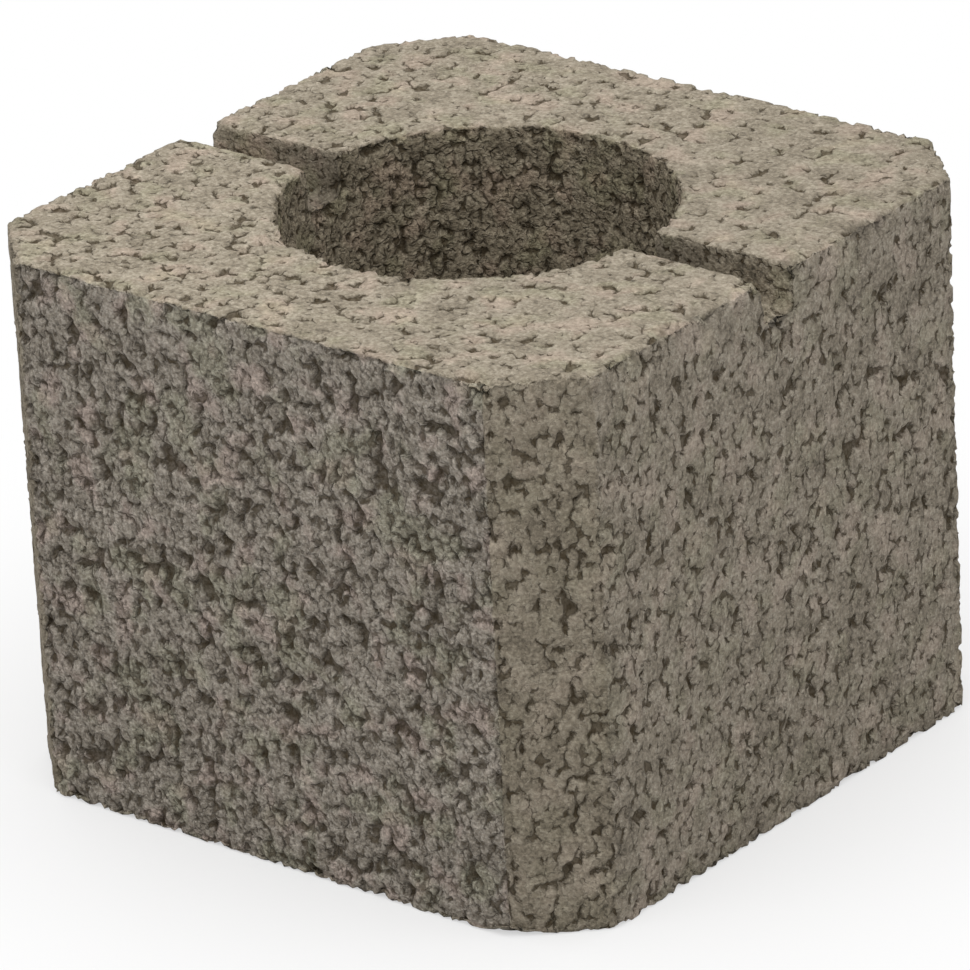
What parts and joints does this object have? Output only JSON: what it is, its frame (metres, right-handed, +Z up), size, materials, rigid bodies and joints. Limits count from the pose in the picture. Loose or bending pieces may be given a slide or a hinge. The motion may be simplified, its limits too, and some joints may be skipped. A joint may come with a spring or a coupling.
{
  "type": "concrete block",
  "caption": "Square pillar block of open-textured concrete with flat-cut upright corners, a round core hole through it and a tie groove across its top; stacks in courses.",
  "frame": {"origin": "middle of the bed face, on the core hole's axis", "axes": "+Z up along the core hole, +X along the tie groove, +Y across it"},
  "size_m": [0.24, 0.24, 0.19],
  "materials": {
    "concrete": "open-textured, pitted and granular, matt"
  },
  "bodies": {
    "root": {"concrete_block": "concrete"}
  },
  "joints": []
}
